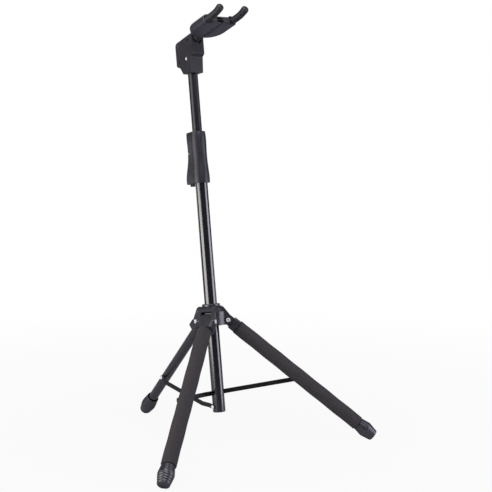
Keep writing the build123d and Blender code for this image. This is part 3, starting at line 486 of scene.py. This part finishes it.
def sleeve_radius(distance, end):
    """Radius of the hose before its round end: cosine ribs, then a smooth step up to the plain tip."""
    wave = 0.5 - 0.5 * np.cos(2 * np.pi * (distance - ARM_MOUTH) / SLEEVE_RIB_PITCH)
    from_mouth = np.clip((distance - ARM_MOUTH) / SLEEVE_TIP, 0, 1)
    to_tip = np.clip((distance - end + SLEEVE_TIP) / SLEEVE_TIP, 0, 1)
    smooth_step = to_tip ** 2 * (3 - 2 * to_tip)
    plain = MOUTH_R + (SLEEVE_R - MOUTH_R) * from_mouth + (TIP_R - SLEEVE_R) * smooth_step
    return plain - SLEEVE_RIB_DEPTH * wave * (to_tip == 0)


arm_rubber = finish("sleeve_rubber", dark=(0.017, 0.017, 0.020), light=(0.023, 0.023, 0.027),
                    rough=(0.38, 0.46), grain=1500.0, cloud=60.0, bump=8e-6, Specular_IOR_Level=0.5)
sleeve_end = ARM_BEND + ARM_BEND_R * ARM_RISE
hose_line = np.linspace(ARM_MOUTH, sleeve_end, SLEEVE_ROWS)
cap = np.radians(np.linspace(0, 90, TIP_ROWS))[1:]
distance = np.concatenate([[ARM_MOUTH], hose_line, sleeve_end + TIP_ROUND * np.sin(cap)])
radius = np.concatenate([[0.0], sleeve_radius(hose_line, sleeve_end), TIP_R * np.cos(cap) ** TIP_POWER])
ahead, up, turn = sleeve_line(distance)
upright = np.cos(turn)[:, None] * yoke_up - np.sin(turn)[:, None] * yoke_ahead
sleeve_angles = np.linspace(0, 2 * np.pi, SLEEVE_SIDES, endpoint=False)
ring = (np.cos(sleeve_angles)[None, :, None] * upright[:, None, :]
        + np.sin(sleeve_angles)[None, :, None] * yoke_right)
for arm, sign in (("left", -1), ("right", 1)):
    middle = yoke_origin + ahead[:, None] * yoke_ahead + up[:, None] * yoke_up + sign * ARM_Y * yoke_right
    points = middle[:, None, :] + radius[:, None, None] * ring
    hose = skin(f"ribbed_sleeve_{arm}", points, f"arm_{arm}", arm_rubber, closed=False)
    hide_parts(f"arm_sleeve_{arm}")

# Neck pads. Soft moulded rubber pads pushed on the arms' inner paddles, where the neck presses them back.
# They are crowned on every side, with a matt skin that is kind to the neck's lacquer.

PAD_MIDDLE = (0.08725, 0.017, 0.00045)     # ahead, to the side and up from the yoke's origin
PAD_HALF = (0.00525, 0.009, 0.00715)
PAD_POWER = 0.34                  # 1 would be a ball, 0 a sharp block
PAD_ROWS = 40
PAD_SIDES = 64


def flattened(value):
    """Signed power that flattens a sine or cosine towards the faces of a block."""
    return np.sign(value) * np.abs(value) ** PAD_POWER


pad_rubber = finish("pad_rubber", dark=(0.046, 0.043, 0.046), light=(0.060, 0.056, 0.060),
                    rough=(0.6, 0.75), grain=1300.0, cloud=50.0, bump=2e-5, Specular_IOR_Level=0.3)

# A pad is a ball, half * (cos p * cos a, cos p * sin a, sin p), with every sine and cosine flattened.
polar = np.linspace(-np.pi / 2, np.pi / 2, PAD_ROWS)
around = np.linspace(0, 2 * np.pi, PAD_SIDES, endpoint=False)
pad_ring = flattened(np.cos(polar))
pad_ahead = PAD_HALF[0] * pad_ring[:, None] * flattened(np.cos(around))[None]
pad_across = PAD_HALF[1] * pad_ring[:, None] * flattened(np.sin(around))[None]
pad_up = PAD_MIDDLE[2] + np.broadcast_to(PAD_HALF[2] * flattened(np.sin(polar))[:, None], pad_ahead.shape)
for arm, sign in (("left", -1), ("right", 1)):
    points = (yoke_origin + (PAD_MIDDLE[0] + pad_ahead)[:, :, None] * yoke_ahead
              + (sign * PAD_MIDDLE[1] + pad_across)[:, :, None] * yoke_right + pad_up[:, :, None] * yoke_up)
    pad = skin(f"neck_pad_{arm}", points, f"arm_{arm}", pad_rubber, closed=False)
    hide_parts(f"arm_pad_{arm}")

# Studio. Seamless paper that is white for the camera, with a warm softbox on the left and a cool one on
# the right, each with a second one above it, a square one overhead and a high fill near the camera.
# Mirror rays see white only behind the stand, so the tubes stay dark between the softboxes' streaks.

FLOOR_HALF = 12.0
PAPER = (0.40, 0.40, 0.425, 1)
PAPER_BOUNCED = (0.76, 0.76, 0.82, 1)      # paper as the light that it bounces on to the stand has it
SHADOW_SPAN = (0.30, 1.8)         # distance from the stand over which its shadow fades out
SHADOW_WHITE = (0.93, 1.0)        # white share of the paper over that distance
SWEEP_SPAN = (1.5, 5.0)           # distance behind the stand over which mirror rays find white paper
WALL_SPAN = (0.86, 0.99)          # how straight behind the stand a ray goes where the wall turns white
WALL_LEVEL = (0.07, 1.0)
ROOM_TINT = (0.74, 0.74, 1.0, 1)
WALL_TINT = (1, 1, 1, 1)
LAMP_TARGET = Vector((0.02, 0.0, 0.5))
LOOK_AZIMUTH = math.radians(142.4034)      # camera's heading
LOOK_DOWN = math.radians(5.896)
CAMERA_PLACE = (1.92458, -1.36492, 0.67860)
CAMERA_LENS = 77.285
CAMERA_SENSOR = 36.0

# Name, degrees to the left of the camera as the stand sees it, distance, height, width and height of the
# box, power in watts and colour.
SOFTBOXES = (("warm_softbox", 61, 1.8, 0.33, (1.65, 0.66), 14.5, (1.0, 0.935, 0.925)),
             ("warm_upper", 61, 1.8, 1.25, (1.65, 1.2), 12.0, (1.0, 0.96, 0.955)),
             ("cool_softbox", -82, 1.7, 0.46, (1.15, 0.92), 11.0, (0.88, 0.86, 1.0)),
             ("cool_upper", -90, 1.7, 1.6, (1.15, 1.3), 4.5, (0.88, 0.86, 1.0)),
             ("top_softbox", 10, 0.6, 2.2, (1.4, 1.4), 17.0, (0.97, 0.97, 1.0)),
             ("front_fill", -25, 1.7, 2.2, (1.2, 1.2), 14.0, (0.96, 0.95, 1.0)))

scene = bpy.context.scene
heading = Vector((math.cos(LOOK_AZIMUTH), math.sin(LOOK_AZIMUTH), 0))


def combine(tree, operation, first, second):
    """Math node on two output sockets."""
    step = tree.nodes.new("ShaderNodeMath")
    step.operation = operation
    tree.links.new(first, step.inputs[0])
    tree.links.new(second, step.inputs[1])
    return step.outputs["Value"]


def measure(tree, operation, socket, second=None):
    """Vector math node on a texture coordinate, for a distance or a length along a direction."""
    place = tree.nodes.new("ShaderNodeTexCoord")
    step = tree.nodes.new("ShaderNodeVectorMath")
    step.operation = operation
    tree.links.new(place.outputs[socket], step.inputs[0])
    if second:
        step.inputs[1].default_value = second
    return step


floor_mesh = bpy.data.meshes.new("floor")
floor_corners = [(-FLOOR_HALF, -FLOOR_HALF, 0), (FLOOR_HALF, -FLOOR_HALF, 0),
                 (FLOOR_HALF, FLOOR_HALF, 0), (-FLOOR_HALF, FLOOR_HALF, 0)]
floor_mesh.from_pydata(floor_corners, [], [(0, 1, 2, 3)])
floor = bpy.data.objects.new("floor", floor_mesh)
scene.collection.objects.link(floor)

# The paper's white is the larger of its share for camera rays and its share for mirror and clear rays.
paper = bpy.data.materials.new("seamless_paper")
paper.use_nodes = True
tree = paper.node_tree
tree.nodes.remove(tree.nodes["Principled BSDF"])
rays = tree.nodes.new("ShaderNodeLightPath")
tone = tree.nodes.new("ShaderNodeMixRGB")
tone.inputs["Color1"].default_value = PAPER
tone.inputs["Color2"].default_value = PAPER_BOUNCED
link(tree, rays, "Is Diffuse Ray", tone, "Fac")
matt = tree.nodes.new("ShaderNodeBsdfDiffuse")
link(tree, tone, "Color", matt, "Color")
white = tree.nodes.new("ShaderNodeEmission")
near = map_range(tree, measure(tree, "LENGTH", "Object"), "Value", SHADOW_SPAN, SHADOW_WHITE)
sweep = map_range(tree, measure(tree, "DOT_PRODUCT", "Object", heading), "Value", SWEEP_SPAN, (0.0, 1.0))
mirrored = combine(tree, "MAXIMUM", rays.outputs["Is Glossy Ray"], rays.outputs["Is Transmission Ray"])
mirror_white = combine(tree, "MULTIPLY", mirrored, sweep.outputs["Result"])
camera_white = combine(tree, "MULTIPLY", rays.outputs["Is Camera Ray"], near.outputs["Result"])
blend = tree.nodes.new("ShaderNodeMixShader")
tree.links.new(combine(tree, "MAXIMUM", camera_white, mirror_white), blend.inputs["Fac"])
tree.links.new(matt.outputs["BSDF"], blend.inputs[1])
tree.links.new(white.outputs["Emission"], blend.inputs[2])
link(tree, blend, "Shader", tree.nodes["Material Output"], "Surface")
floor_mesh.materials.append(paper)

# The room is dim and bluish, and turns white for the camera and straight behind the stand.
world = bpy.data.worlds.new("studio")
scene.world = world
world.use_nodes = True
tree = world.node_tree
sky = tree.nodes["Background"]
wall = map_range(tree, measure(tree, "DOT_PRODUCT", "Generated", heading), "Value", WALL_SPAN, WALL_LEVEL)
rays = tree.nodes.new("ShaderNodeLightPath")
level = combine(tree, "MAXIMUM", wall.outputs["Result"], rays.outputs["Is Camera Ray"])
tree.links.new(level, sky.inputs["Strength"])
air = tree.nodes.new("ShaderNodeMixRGB")
air.inputs["Color1"].default_value = ROOM_TINT
air.inputs["Color2"].default_value = WALL_TINT
tree.links.new(level, air.inputs["Fac"])
link(tree, air, "Color", sky, "Color")

for name, bearing, distance, height, size, power, tint in SOFTBOXES:
    lamp = bpy.data.lights.new(name, "AREA")
    lamp.shape = "RECTANGLE"
    lamp.size, lamp.size_y = size
    lamp.energy = power
    lamp.color = tint
    angle = LOOK_AZIMUTH + math.pi - math.radians(bearing)
    box = bpy.data.objects.new(name, lamp)
    box.location = (LAMP_TARGET.x + distance * math.cos(angle),
                    LAMP_TARGET.y + distance * math.sin(angle), height)
    box.rotation_euler = (LAMP_TARGET - box.location).to_track_quat("-Z", "Y").to_euler()
    scene.collection.objects.link(box)

camera_data = bpy.data.cameras.new("camera")
camera_data.lens = CAMERA_LENS
camera_data.sensor_width = CAMERA_SENSOR
camera = bpy.data.objects.new("camera", camera_data)
camera.location = CAMERA_PLACE
gaze = heading * math.cos(LOOK_DOWN) - Vector((0, 0, math.sin(LOOK_DOWN)))
camera.rotation_euler = gaze.to_track_quat("-Z", "Y").to_euler()
scene.collection.objects.link(camera)
scene.camera = camera
scene.view_settings.view_transform = "Standard"
